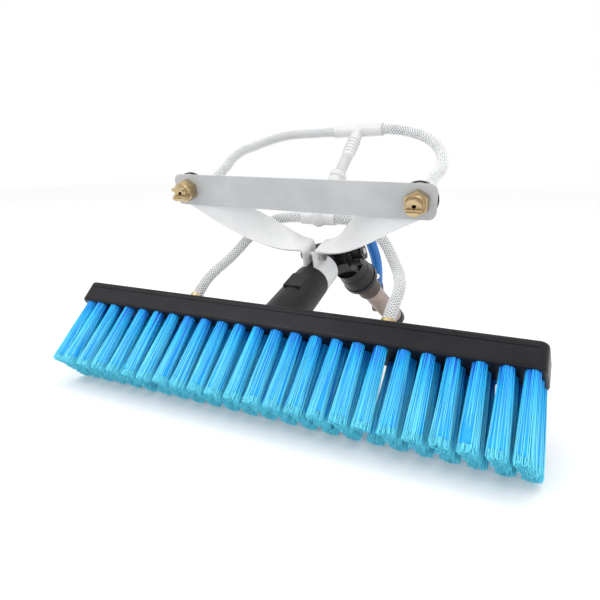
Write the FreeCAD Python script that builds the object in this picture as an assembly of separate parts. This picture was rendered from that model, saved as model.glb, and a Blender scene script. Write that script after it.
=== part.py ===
"""Water-fed wash brush: a long tufted block on an angled socket, with a spray bar on a strip
bracket, braided hoses, an angle knuckle and the first stretch of its pole.

Millimetres. +X runs along the brush, +Y away from the bristles' side, +Z up. The brush leans
forwards on its bristle tips and backwards on the end of its pole, on the plane Z = 0.
"""
import FreeCAD, Part
import math
import os

V = FreeCAD.Vector
Rotation = FreeCAD.Rotation
Placement = FreeCAD.Placement

# ---- brush block ------------------------------------------------------------------------
BLOCK_L = 401.0           # along the front face; the ends slope outwards to the rear
BLOCK_REAR_L = 412.0
BLOCK_W = 38.0
BLOCK_H = 21.0
BLOCK_CORNER_R = 7.0
BLOCK_EDGE_R = 2.5
GROOVE_UP = 14.5          # height of the moulded line along the front and back faces
GROOVE = 0.5

# ---- tufts ------------------------------------------------------------------------------
TUFTS = 24
TUFT_PITCH = 16.9
LEFT_END_PITCH = 0.7      # the outermost tufts stand closer, as a share of the pitch
RIGHT_END_PITCH = 0.9
ROWS = {"front": (-12.5, 0.0), "middle": (0.0, 3.0), "rear": (12.5, 6.0)}   # across, shift
TUFT_ROOT_R = 4.8
TUFT_TIP_R = 6.1
TUFT_OUT = 61.45
TUFT_IN = 12.0

# ---- frames: the block, the socket's axis, the spray bar, the knuckle and the pole -------
BLOCK_AT = V(0, -94.66, 55.64)
BLOCK_LEAN = -46.8        # turns the block about X, bristles forwards and down
NECK_ON_BLOCK = 3.0       # where the socket's axis meets the block's top
NECK_LEAN = -27.0
BAR_UP = 91.3             # from the neck's axis to the middle of the spray bar
BAR_ALONG = 46.8
BAR_LEAN = -6.0
PIVOT_ALONG = 118.0
NECK_TWIST = -16.0        # how far the knuckle is turned in the socket
POLE_BEND = 58.0          # between the neck and the pole
POLE_ASIDE = 11.0         # the pole's axis, along the pivot, from the neck's axis

# ---- socket and neck --------------------------------------------------------------------
SOCKET_R = 18.0
SOCKET_RIM_R = 17.2
SOCKET_LEN = 63.0
NECK_R = 15.0
NECK_FOOT = 22.0
NECK_TOP = 99.5
FLANGE = V(60, 25, 3)
FLANGE_Y = -7.0
FLANGE_SCREWS = [(-24, -1), (24, -1), (-24, 12), (24, 12)]

# ---- spray bar and strip bracket --------------------------------------------------------
STRIP_W = 27.0
STRIP_T = 2.0
BAR_L = 235.0
BAR_CORNER_R = 6.0
BAR_ROLL = 1.35          # the bar sits a little lower at its right end
ARM_TILT = 28.0          # the arms leave the bar's ends inwards and down
ARM_PAD = 22.0
NOZZLE_X = 103.5
STEM_R = 5.0
EAR_Z = 78.0              # middle of the ears, along the neck
EAR_TOP = 32.0
EAR_GAP = 4.0
CLAMP_BOLT_UP = 22.5
CLAMP_REACH = 12.5       # how far below the neck's axis each half wraps

# ---- water fittings ---------------------------------------------------------------------
HOSE_R = 5.5
SUPPLY_R = 6.0
INLET_X = 90.0
INLET_COLLAR = 9.0
JET_R = 4.0
TEE = V(12, 78.4, 227)
CROSS = V(0, 1.8, 144.4)
TEE_HALF = 27.0
CROSS_HALF = 17.0
BRANCH = 36.0
COLLAR_FROM = 60.0
COLLAR_TO = 73.0

# ---- knuckle and pole -------------------------------------------------------------------
LUG_R = 17.0
LUG_OUT = -15.0
DISC_HALF = 0.6
GAP = 0.3
HEAD_OUT = 24.0
BOLT_R = 3.0
RUNNING = 0.05
OUTER_R = 13.5
POLE_R = 11.0
POLE_BORE_R = 9.5
POLE_MOUTH_R = 9.8        # the far end is opened out to take the next section
POLE_MOUTH = 40.0
OUTER_FROM = 18.5
OUTER_TO = 71.0
POLE_FROM = 40.0
POLE_TO = 149.8
RING_R = 19.0
CAP_FROM = 29.0
CAP_TO = 49.0
BUTTON_AT = 62.0
BUTTON_R = 3.0
BUTTON_TURN = -35.0


def turn_x(degrees, at=V(0, 0, 0)):
    return Placement(at, Rotation(V(1, 0, 0), degrees))


def turn_y(degrees, at=V(0, 0, 0)):
    return Placement(at, Rotation(V(0, 1, 0), degrees))


def turn_z(degrees, at=V(0, 0, 0)):
    return Placement(at, Rotation(V(0, 0, 1), degrees))


BLOCK = turn_x(BLOCK_LEAN, BLOCK_AT)
NECK = BLOCK * turn_x(NECK_LEAN, V(0, NECK_ON_BLOCK, BLOCK_H))
BAR = NECK * turn_x(BAR_LEAN, V(0, -BAR_UP, BAR_ALONG)) * turn_z(BAR_ROLL)
KNUCKLE = NECK * turn_z(NECK_TWIST, V(0, 0, PIVOT_ALONG))
POLE = KNUCKLE * turn_x(-POLE_BEND) * Placement(V(POLE_ASIDE, 0, 0), Rotation())


def put(shape, frame):
    """A copy of the shape, carried from its own frame to the part's."""
    out = shape.copy()
    out.Placement = frame * out.Placement
    return out


def box(x0, x1, y0, y1, z0, z1):
    return Part.makeBox(x1 - x0, y1 - y0, z1 - z0, V(x0, y0, z0))


def rod(r, start, end):
    way = end - start
    return Part.makeCylinder(r, way.Length, start, way)


def cone(r0, r1, z0, z1):
    return Part.makeCone(r0, r1, z1 - z0, V(0, 0, z0))


def tube(r, bore, z0, z1):
    hole = Part.makeCylinder(bore, z1 - z0 + 2, V(0, 0, z0 - 1))
    return Part.makeCylinder(r, z1 - z0, V(0, 0, z0)).cut(hole)


def prism(sides, across_r, z0, z1, turned=0.0):
    """A regular prism along Z; across_r is half of its width across flats."""
    r = across_r / math.cos(math.pi / sides)
    corners = [
        V(r * math.cos(a), r * math.sin(a), z0)
        for a in (math.radians(turned) + 2 * math.pi * i / sides for i in range(sides + 1))
    ]
    return Part.Face(Part.makePolygon(corners)).extrude(V(0, 0, z1 - z0))


def fused(first, *others):
    for other in others:
        first = first.fuse(other)
    return first.removeSplitter()


def facing(at, way, across=V(1, 0, 0)):
    """A frame at a point, its Z along way and its X as near to across as that allows."""
    z = V(way).normalize()
    y = z.cross(across).normalize()
    return Placement(at, Rotation(y.cross(z), y, z, "ZXY"))


# ---- the block and its tufts ------------------------------------------------------------
def tuft_places(shift=0.0, clear_of_jets=False):
    """Where one row's tufts stand along the block. The middle row makes room for the jets."""
    half = (TUFTS - 3) / 2
    places = [(i - half) * TUFT_PITCH for i in range(TUFTS - 2)]
    places.insert(0, -(half + LEFT_END_PITCH) * TUFT_PITCH)
    places.append((half + RIGHT_END_PITCH) * TUFT_PITCH)
    places = [x + shift for x in places]
    if clear_of_jets:
        places = [x for x in places if abs(abs(x) - INLET_X) > 2 * TUFT_ROOT_R]
    return places


def row_places(row):
    y, shift = ROWS[row]
    return [(x, y) for x in tuft_places(shift, row == "middle")]


def brush_block():
    front, rear, wide = BLOCK_L / 2, BLOCK_REAR_L / 2, BLOCK_W / 2
    outline = [V(-front, -wide, 0), V(front, -wide, 0), V(rear, wide, 0), V(-rear, wide, 0)]
    body = Part.Face(Part.makePolygon([*outline, outline[0]])).extrude(V(0, 0, BLOCK_H))
    upright = [e for e in body.Edges if abs(e.tangentAt(e.FirstParameter).z) > 0.9]
    body = body.makeFillet(BLOCK_CORNER_R, upright)
    level = [e for e in body.Edges if abs(e.BoundBox.ZMax - e.BoundBox.ZMin) < 0.01]
    body = body.makeFillet(BLOCK_EDGE_R, level)
    reach = BLOCK_W / 2 - GROOVE
    for side in (-1, 1):
        y = sorted((side * reach, side * (reach + 2)))
        body = body.cut(box(-BLOCK_L, BLOCK_L, y[0], y[1], GROOVE_UP, GROOVE_UP + 2 * GROOVE))
    holes = [
        Part.makeCylinder(TUFT_ROOT_R, TUFT_IN + 1, V(x, y, -1))
        for row in ROWS
        for x, y in row_places(row)
    ]
    holes += [Part.makeCylinder(JET_R, BLOCK_H + 2, V(side * INLET_X, 0, -1)) for side in (-1, 1)]
    holes += [Part.makeCylinder(2.0, 13, V(x, y, BLOCK_H - 8)) for x, y in FLANGE_SCREWS]
    return body.cut(Part.makeCompound(holes))


def tuft(x, y):
    """One bundle of bristles as a solid: its root in the block and its flare outside."""
    root = Part.makeCylinder(TUFT_ROOT_R, TUFT_IN, V(x, y, 0))
    flare = Part.makeCone(TUFT_TIP_R, TUFT_ROOT_R, TUFT_OUT, V(x, y, -TUFT_OUT))
    return root.fuse(flare).removeSplitter()


def tuft_row(row):
    return Part.makeCompound([tuft(x, y) for x, y in row_places(row)])


# ---- the socket -------------------------------------------------------------------------
def handle_socket():
    """Made in the block's frame: a flange on the block's top, and the leaning socket on it."""
    lean = turn_x(NECK_LEAN, V(0, NECK_ON_BLOCK, BLOCK_H))
    flange = box(-FLANGE.x / 2, FLANGE.x / 2, FLANGE_Y, FLANGE_Y + FLANGE.y, BLOCK_H, BLOCK_H + FLANGE.z)
    upright = [e for e in flange.Edges if abs(e.tangentAt(e.FirstParameter).z) > 0.9]
    flange = flange.makeFillet(6.0, upright)
    barrel = put(Part.makeCylinder(SOCKET_R, 22, V(0, 0, -22)), lean)
    barrel = barrel.fuse(put(cone(SOCKET_R, SOCKET_RIM_R, 0, SOCKET_LEN), lean))
    panel = put(box(-8, 8, -SOCKET_R - 0.6, -SOCKET_R + 6, 24, 46), lean)
    below = box(-60, 60, -60, 60, -40, BLOCK_H)
    socket = fused(flange, barrel, panel).cut(below)
    bore = put(Part.makeCylinder(NECK_R, 60, V(0, 0, NECK_FOOT)), lean)
    holes = [Part.makeCylinder(2.2, 20, V(x, y, BLOCK_H - 1)) for x, y in FLANGE_SCREWS]
    return socket.cut(Part.makeCompound([bore, *holes]))


def socket_screws():
    """Pan-head screws through the flange into the block."""
    top = BLOCK_H + FLANGE.z
    screws = []
    for x, y in FLANGE_SCREWS:
        shank = Part.makeCylinder(2.0, FLANGE.z + 7, V(x, y, top - FLANGE.z - 7))
        head = Part.makeCylinder(3.9, 2.2, V(x, y, top))
        drive = box(x - 2.4, x + 2.4, y - 0.45, y + 0.45, top + 1.0, top + 3)
        cross = box(x - 0.45, x + 0.45, y - 2.4, y + 2.4, top + 1.0, top + 3)
        screws.append(shank.fuse(head).cut(drive.fuse(cross)))
    return Part.makeCompound(screws)


# ---- the strip bracket ------------------------------------------------------------------
def nozzle_bar():
    plate = box(-BAR_L / 2, BAR_L / 2, -STRIP_W / 2, STRIP_W / 2, 0, STRIP_T)
    upright = [e for e in plate.Edges if abs(e.tangentAt(e.FirstParameter).z) > 0.9]
    plate = plate.makeFillet(BAR_CORNER_R, upright)
    for side in (-1, 1):
        plate = plate.cut(Part.makeCylinder(STEM_R + RUNNING, 10, V(side * NOZZLE_X, 0, -4)))
    return plate


def curve_at(points, t):
    """A point on the Bezier curve with these four control points."""
    a, b, c, d = points
    u = 1 - t
    return a * u**3 + b * (3 * u * u * t) + c * (3 * u * t * t) + d * t**3


ARM_STATIONS = 9
FOLD_R = 4.0


def section(here, way, wide):
    """The strip's rectangle at a point, square to its way."""
    way = V(way).normalize()
    wide = (wide - way * wide.dot(way)).normalize() * (STRIP_W / 2)
    thick = way.cross(wide).normalize() * (STRIP_T / 2)
    corners = [here - wide - thick, here + wide - thick, here + wide + thick, here - wide + thick]
    return Part.makePolygon([*corners, corners[0]])


def arm_fold(side):
    """The tight fold at the ear's top, where the strip turns outwards from the clamp."""
    sections = []
    for i in range(5):
        a = math.radians(90 * i / 4)
        x = EAR_GAP + STRIP_T / 2 + FOLD_R * (1 - math.cos(a))
        y = -EAR_TOP + FOLD_R * (1 - math.sin(a))
        way = V(side * math.sin(a), -math.cos(a), 0)
        sections.append(section(V(side * x, y, EAR_Z), way, V(0, 0, -1)))
    return Part.makeLoft(sections, True, True)


def arm_run(side):
    """The twisted stretch from the fold, edge on to the neck, to the pad behind the bar."""
    tilt = math.radians(ARM_TILT)
    out = V(side * math.cos(tilt), -math.sin(tilt), 0)
    down = V(side * math.sin(tilt), math.cos(tilt), 0)
    to_neck = NECK.inverse() * BAR
    turn = to_neck.Rotation
    end = to_neck.multVec(V(side * NOZZLE_X, 0, 1.5 * STRIP_T) - out * ARM_PAD)
    end_way = turn.multVec(out)
    end_wide = turn.multVec(down)
    start = V(side * (EAR_GAP + STRIP_T / 2 + FOLD_R), -EAR_TOP, EAR_Z)
    points = [start, start + V(side * 20, -3, 0), end - end_way * 30, end]
    sections = []
    for i in range(ARM_STATIONS):
        t = i / (ARM_STATIONS - 1)
        way = V(side, 0, 0)
        if i:
            way = curve_at(points, min(t + 0.01, 1)) - curve_at(points, t - 0.01)
        lean = math.radians(90 * (3 * t * t - 2 * t**3))
        wide = V(0, 0, -1) * math.cos(lean) + end_wide * math.sin(lean)
        sections.append(section(curve_at(points, t), way, wide))
    return Part.makeLoft(sections, True, False)


def arm(side):
    """One bracket arm: a pad behind the bar, the twisted run, the ear and half of the clamp."""
    to_neck = NECK.inverse() * BAR
    at_stem = Placement(V(side * NOZZLE_X, 0, 0), Rotation())
    tilted = turn_z(-ARM_TILT if side > 0 else 180 + ARM_TILT)
    pad = box(-ARM_PAD, 0, -STRIP_W / 2, STRIP_W / 2, STRIP_T, 2 * STRIP_T)
    pad = pad.fuse(Part.makeCylinder(STRIP_W / 2, STRIP_T, V(0, 0, STRIP_T)))
    pad = put(pad, to_neck * at_stem * tilted)
    hole = put(Part.makeCylinder(STEM_R + RUNNING, 10, V(0, 0, -2)), to_neck * at_stem)
    z0, z1 = EAR_Z - STRIP_W / 2, EAR_Z + STRIP_W / 2
    x = sorted((side * EAR_GAP, side * (EAR_GAP + STRIP_T)))
    ear = box(x[0], x[1], -EAR_TOP + FOLD_R, -NECK_R, z0, z1)
    half = tube(NECK_R + STRIP_T, NECK_R, z0, z1)
    x = sorted((side * EAR_GAP, side * 40))
    half = half.common(box(x[0], x[1], -40, CLAMP_REACH, z0 - 1, z1 + 1))
    bolt = rod(BOLT_R, V(-20, -CLAMP_BOLT_UP, EAR_Z), V(20, -CLAMP_BOLT_UP, EAR_Z))
    whole = pad.fuse(arm_run(side)).fuse(arm_fold(side)).fuse(ear).fuse(half)
    return whole.cut(hole).cut(bolt)


def clamp_bolt():
    y = -CLAMP_BOLT_UP
    reach = EAR_GAP + STRIP_T + 1.2
    shank = rod(BOLT_R, V(-reach - 6, y, EAR_Z), V(reach, y, EAR_Z))
    head = put(prism(6, 5.0, 0, 4.0), facing(V(reach, y, EAR_Z), V(1, 0, 0), V(0, 1, 0)))
    return fused(shank, head)


def clamp_washers():
    y = -CLAMP_BOLT_UP
    ring = tube(5.5, BOLT_R, 0, 1.2)
    x = EAR_GAP + STRIP_T
    ways = [(V(x, y, EAR_Z), V(1, 0, 0)), (V(-x, y, EAR_Z), V(-1, 0, 0))]
    return Part.makeCompound([put(ring, facing(at, way, V(0, 1, 0))) for at, way in ways])


def clamp_nut():
    nut = prism(6, 5.0, 0, 4.6).cut(Part.makeCylinder(BOLT_R, 8, V(0, 0, -1)))
    at = V(-(EAR_GAP + STRIP_T + 1.2), -CLAMP_BOLT_UP, EAR_Z)
    return put(nut, facing(at, V(-1, 0, 0), V(0, 1, 0)))


# ---- nozzles and their tails, each in a frame at the bar's front, Z to the back ----------
def at_nozzle(side):
    return BAR * Placement(V(side * NOZZLE_X, 0, 0), Rotation())


def nozzle():
    """A flat-fan nozzle: threaded stem, hexagon, shoulder and a tip with a slot across it."""
    stem = Part.makeCylinder(STEM_R, 9.4, V(0, 0, -0.3))
    hexagon = prism(6, 8.5, -8.3, -0.3, 30)
    shoulder = cone(6.4, 7.6, -10.8, -8.3)
    tip = Part.makeCylinder(6.0, 8.0, V(0, 0, -18.8))
    body = fused(stem, hexagon, shoulder, tip)
    slot = box(-9, 9, -1.9, 1.9, -20, -13.2)
    mouth = box(-9, 9, -3.4, 3.4, -20, -16.6)
    way = Part.makeCylinder(1.6, 40, V(0, 0, -20))
    return body.cut(slot).cut(mouth).cut(way)


def nozzle_seal():
    return tube(14.5, STEM_R + RUNNING, 2 * STRIP_T, 2 * STRIP_T + 3.0)


def hose_tail():
    """The hexagon nut behind the bar, with the collar that the hose butts on."""
    z = 2 * STRIP_T + 3.0
    body = fused(prism(6, 8.5, z, z + 7), Part.makeCylinder(6.2, 9, V(0, 0, z + 7)))
    body = body.cut(Part.makeCylinder(STEM_R + RUNNING, 4, V(0, 0, z - 1)))
    return body.cut(Part.makeCylinder(2.0, 30, V(0, 0, z)))


TAIL_END = 2 * STRIP_T + 3.0 + 7 + 9


# ---- water inlets on the block and the jets under it, in the block's frame ---------------
def block_inlet(side):
    """A flanged elbowless spigot on the block's top, which the lower hose butts on."""
    foot = prism(6, 8.0, BLOCK_H, BLOCK_H + 5)
    spigot = Part.makeCylinder(6.2, INLET_COLLAR - 5, V(0, 0, BLOCK_H + 5))
    stem = Part.makeCylinder(JET_R, BLOCK_H / 2, V(0, 0, BLOCK_H / 2))
    body = fused(foot, spigot, stem).cut(Part.makeCylinder(2.0, 60, V(0, 0, -1)))
    return put(body, Placement(V(side * INLET_X, 0, 0), Rotation()))


def block_jet(side):
    """A small spray jet screwed into the underside between the rows."""
    stem = Part.makeCylinder(JET_R, BLOCK_H / 2, V(0, 0, 0))
    hexagon = prism(6, 4.9, -3.0, 0)
    tip = cone(2.4, 3.6, -8.0, -3.0)
    body = fused(stem, hexagon, tip).cut(Part.makeCylinder(1.0, 60, V(0, 0, -20)))
    return put(body, Placement(V(side * INLET_X, 0, 0), Rotation()))


# ---- tee, link and cross ----------------------------------------------------------------
LINK_WAY = (CROSS - TEE).normalize()
RUN_WAY = V(0.984, -0.165, 0.01)
SUPPLY_WAY = V(0.19, 0.96, 0.2).normalize()
SUPPLY_PORT = 18.0


def upper_tee():
    """In a frame at the tee, Z down its ribbed branch."""
    run = rod(6.4, V(-TEE_HALF, 0, 0), V(TEE_HALF, 0, 0))
    branch = Part.makeCylinder(5.8, BRANCH, V(0, 0, 0))
    ribs = [Part.makeCylinder(6.5, 1.6, V(0, 0, z)) for z in (14, 18, 22, 26, 30)]
    body = fused(run, branch, *ribs)
    ways = fused(rod(3.0, V(-40, 0, 0), V(40, 0, 0)), Part.makeCylinder(3.0, 50, V(0, 0, 0)))
    return body.cut(ways)


def link_hose():
    return Part.makeCylinder(HOSE_R, COLLAR_FROM - BRANCH, V(0, 0, BRANCH))


def link_collar():
    band = Part.makeCylinder(8.4, 5, V(0, 0, COLLAR_FROM))
    body = fused(band, prism(8, 7.6, COLLAR_FROM + 5, COLLAR_TO))
    return body.cut(Part.makeCylinder(3.0, 30, V(0, 0, COLLAR_FROM - 1)))


def lower_cross():
    """The four-way fitting above the clamp: two hoses, the link and the supply meet here."""
    hub = Part.makeSphere(8.4, CROSS)
    run = rod(6.4, CROSS - V(CROSS_HALF, 0, 0), CROSS + V(CROSS_HALF, 0, 0))
    riser = rod(6.0, CROSS, TEE + LINK_WAY * COLLAR_TO)
    rear = rod(6.8, CROSS, CROSS + SUPPLY_WAY * SUPPLY_PORT)
    ways = [
        rod(3.0, CROSS - V(30, 0, 0), CROSS + V(30, 0, 0)),
        rod(3.0, CROSS, CROSS - LINK_WAY * 60),
        rod(3.0, CROSS, CROSS + SUPPLY_WAY * 30),
    ]
    return fused(hub, run, riser, rear).cut(fused(*ways))


# ---- hoses: straight runs joined by tangent arcs ----------------------------------------
def hose(name, r, route):
    """A plain tube along the route. The arc at each point is as large as its two runs allow."""
    points = [V(*p) for p in route]
    edges = []
    radii = []
    here = points[0]
    for before, corner, after in zip(points, points[1:], points[2:]):
        to_corner = corner - before
        from_corner = after - corner
        way_in = V(to_corner).normalize()
        way_out = V(from_corner).normalize()
        half_turn = math.acos(max(-1, min(1, way_in.dot(way_out)))) / 2
        back = 0.45 * min(to_corner.Length, from_corner.Length)
        radii.append(back / math.tan(half_turn))
        start = corner - way_in * back
        end = corner + way_out * back
        inward = (way_out - way_in).normalize()
        middle = corner + inward * (radii[-1] * (1 / math.cos(half_turn) - 1))
        edges.append(Part.LineSegment(here, start).toShape())
        edges.append(Part.Arc(start, middle, end).toShape())
        here = end
    edges.append(Part.LineSegment(here, points[-1]).toShape())
    path = Part.Wire(edges)
    ring = Part.Wire(Part.makeCircle(r, points[0], points[1] - points[0]))
    solid = path.makePipeShell([ring], True, False)
    print(name, "length", round(path.Length, 1), "tightest", round(min(radii), 1))
    return solid


# how far each hose runs straight out of its two ends
UPPER_STUBS = {-1: (12.9, 31.2), 1: (16.6, 11.9)}
LOWER_STUBS = {-1: (20.0, 12.7), 1: (18.4, 11.5)}


def nozzle_tail_end(side):
    frame = at_nozzle(side)
    far = TAIL_END + UPPER_STUBS[side][0]
    return frame.multVec(V(0, 0, TAIL_END)), frame.multVec(V(0, 0, far))


def tee_port(side):
    frame = facing(TEE, LINK_WAY, RUN_WAY)
    far = TEE_HALF + UPPER_STUBS[side][1]
    return frame.multVec(V(side * TEE_HALF, 0, 0)), frame.multVec(V(side * far, 0, 0))


def cross_port(side):
    far = CROSS_HALF + LOWER_STUBS[side][0]
    return CROSS + V(side * CROSS_HALF, 0, 0), CROSS + V(side * far, 0, 0)


def inlet_end(side):
    frame = BLOCK * Placement(V(side * INLET_X, 0, 0), Rotation())
    near = BLOCK_H + INLET_COLLAR
    return frame.multVec(V(0, 0, near)), frame.multVec(V(0, 0, near + LOWER_STUBS[side][1]))


UPPER_LEFT = [
    (-105.9, 1, 186.6),
    (-103.1, 23.9, 204.9),
    (-96.4, 55.1, 213.7),
    (-75.6, 77.2, 224.1),
]
UPPER_RIGHT = [
    (103.8, -1.3, 182),
    (107.9, 17.8, 189),
    (104.9, 35.9, 198.8),
    (98.1, 50.4, 209.4),
    (85.5, 62.3, 218),
    (68.8, 69.9, 223.7),
]
LOWER_LEFT = [
    (-55.4, -1.1, 137.3),
    (-70.5, -7.9, 124.1),
    (-82.1, -23.5, 105.3),
    (-87.9, -48.1, 94.3),
]
LOWER_RIGHT = [
    (52.6, 0.3, 137.9),
    (66.6, -3.5, 126.1),
    (76.8, -12.1, 112.3),
    (86.1, -25.8, 102.8),
    (91.9, -45.8, 95.6),
]
SUPPLY = [
    (7.5, 39.5, 152.3),
    (12.2, 66.9, 147.8),
    (16.4, 90.4, 131),
    (23.6, 102.5, 106.5),
    (30.2, 110.3, 79.5),
    (26.3, 123.4, 55.5),
]


def whole_route(ends, middle, last):
    near, next_to = ends
    far, before = last
    return [tuple(near), tuple(next_to), *middle, tuple(before), tuple(far)]


def supply_route():
    port = CROSS + SUPPLY_WAY * SUPPLY_PORT
    return [tuple(port), *SUPPLY]


def supply_connector():
    """The quick connector on the end of the supply hose, held to the back of the pole."""
    last, before = V(*SUPPLY[-1]), V(*SUPPLY[-2])
    barrel = Part.makeCylinder(8.0, 22, V(0, 0, 8))
    spigot = Part.makeCylinder(5.2, 12, V(0, 0, 30))
    body = fused(cone(7.0, 8.0, 0, 8), barrel, spigot)
    body = body.cut(Part.makeCylinder(3.2, 60, V(0, 0, -1)))
    return put(body, facing(last, last - before, V(0, 0, 1)))


# ---- neck and knuckle -------------------------------------------------------------------
def neck_adaptor():
    """Made in the knuckle's frame: the spigot in the socket and the lug beside the pivot."""
    foot = NECK_FOOT - PIVOT_ALONG
    top = NECK_TOP - PIVOT_ALONG
    spigot = Part.makeCylinder(NECK_R, top - foot, V(0, 0, foot))
    lug = rod(LUG_R, V(LUG_OUT, 0, 0), V(-DISC_HALF, 0, 0))
    web = box(LUG_OUT, -DISC_HALF, -11, 11, top - 4, 0)
    web = web.common(Part.makeCylinder(NECK_R + 4, 60, V(0, 0, top - 6)))
    body = fused(spigot, lug, web)
    return body.cut(rod(BOLT_R + RUNNING, V(-40, 0, 0), V(40, 0, 0)))


def friction_disc():
    ring = rod(13.5, V(-DISC_HALF, 0, 0), V(DISC_HALF, 0, 0))
    return ring.cut(rod(BOLT_R + RUNNING, V(-5, 0, 0), V(5, 0, 0)))


def pivot_bolt():
    shank = rod(BOLT_R, V(LUG_OUT, 0, 0), V(38, 0, 0))
    head = put(prism(6, 5.0, 0, 4.0), facing(V(LUG_OUT, 0, 0), V(-1, 0, 0), V(0, 1, 0)))
    return fused(shank, head)


def knuckle_head():
    """Made in the pole's frame: the faceted half beside the pivot and the saddle on the tube."""
    aside = -POLE_ASIDE
    inner = aside + DISC_HALF + GAP
    outer = aside + HEAD_OUT
    across = facing(V(inner, 0, 0), V(1, 0, 0), V(0, 1, 0))
    facets = put(prism(8, LUG_R - 0.5, 0, outer - inner, 22.5), across)
    saddle = Part.makeCylinder(OUTER_R + 3.0, CAP_FROM - OUTER_FROM, V(0, 0, OUTER_FROM))
    throat = box(inner, outer, -12, 12, 0, OUTER_FROM + 1)
    throat = throat.common(Part.makeCylinder(OUTER_R + 3.0, 20, V(0, 0, 0)))
    spine = box(-6, 8, -19.0, -8, 4, CAP_FROM - 1)
    body = fused(facets, saddle, throat, spine)
    seat = Part.makeCylinder(OUTER_R, 60, V(0, 0, OUTER_FROM))
    hole = rod(BOLT_R + RUNNING, V(-60, 0, 0), V(60, 0, 0))
    return body.cut(seat).cut(hole)


def pivot_washer():
    ring = rod(8.0, V(HEAD_OUT + GAP, 0, 0), V(HEAD_OUT + GAP + 1.4, 0, 0))
    return ring.cut(rod(BOLT_R, V(0, 0, 0), V(60, 0, 0)))


KNOB_FROM = HEAD_OUT + GAP + 1.4 + GAP


def pivot_knob():
    """A four-lobed knob on the pivot bolt, in the knuckle's frame."""
    start = V(KNOB_FROM, 0, 0)
    hub = rod(7.5, start, start + V(11, 0, 0))
    lobes = []
    for i in range(4):
        a = math.radians(45 + 90 * i)
        y, z = 9.0 * math.cos(a), 9.0 * math.sin(a)
        lobes.append(rod(4.6, V(KNOB_FROM, y, z), V(KNOB_FROM + 9, y, z)))
    return fused(hub, *lobes).cut(rod(BOLT_R + RUNNING, V(0, 0, 0), V(60, 0, 0)))


# ---- pole, in its own frame, Z down the pole --------------------------------------------
BUTTON_FRAME = turn_z(BUTTON_TURN, V(0, 0, BUTTON_AT))


def button_hole():
    return put(rod(BUTTON_R + RUNNING, V(0, 0, 0), V(40, 0, 0)), BUTTON_FRAME)


def outer_tube():
    return tube(OUTER_R, POLE_R, OUTER_FROM, OUTER_TO).cut(button_hole())


def lock_ring():
    """The black ring that closes on the outer tube, with a raised rim on its pole side."""
    rim = CAP_TO - 5.0
    body = fused(cone(16.8, 18.2, CAP_FROM, rim), Part.makeCylinder(RING_R, 5.0, V(0, 0, rim)))
    return body.cut(Part.makeCylinder(OUTER_R, 40, V(0, 0, 20)))


def pole_tube():
    mouth = Part.makeCylinder(POLE_MOUTH_R, POLE_MOUTH + 1, V(0, 0, POLE_TO - POLE_MOUTH))
    return tube(POLE_R, POLE_BORE_R, POLE_FROM, POLE_TO).cut(mouth).cut(button_hole())


def spring_button():
    body = rod(BUTTON_R, V(4.5, 0, 0), V(15.2, 0, 0))
    dome = Part.makeSphere(BUTTON_R, V(15.2, 0, 0))
    flange = rod(4.4, V(4.5, 0, 0), V(5.7, 0, 0))
    return put(fused(body, dome, flange), BUTTON_FRAME)


def button_spring():
    """The bent leaf inside the pole that pushes the button out."""
    outer_leaf = put(box(0, 0.6, -3, 3, 0, 30), turn_y(0, V(3.5, 0, -8)))
    bend = tube(3.8, 3.2, -3, 3).common(box(-5, 5, 0, 5, -4, 4))
    bend = put(bend, Placement(V(0.3, 0, 22), Rotation(V(1, 0, 0), 90)))
    back_leaf = put(box(0, 0.6, -3, 3, 0, 30), turn_y(0, V(-3.5, 0, -8)))
    return put(fused(outer_leaf, bend, back_leaf), BUTTON_FRAME)


def pole_ferrule():
    return tube(POLE_R + 0.8, POLE_R, POLE_TO - 9, POLE_TO - 0.8)


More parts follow.
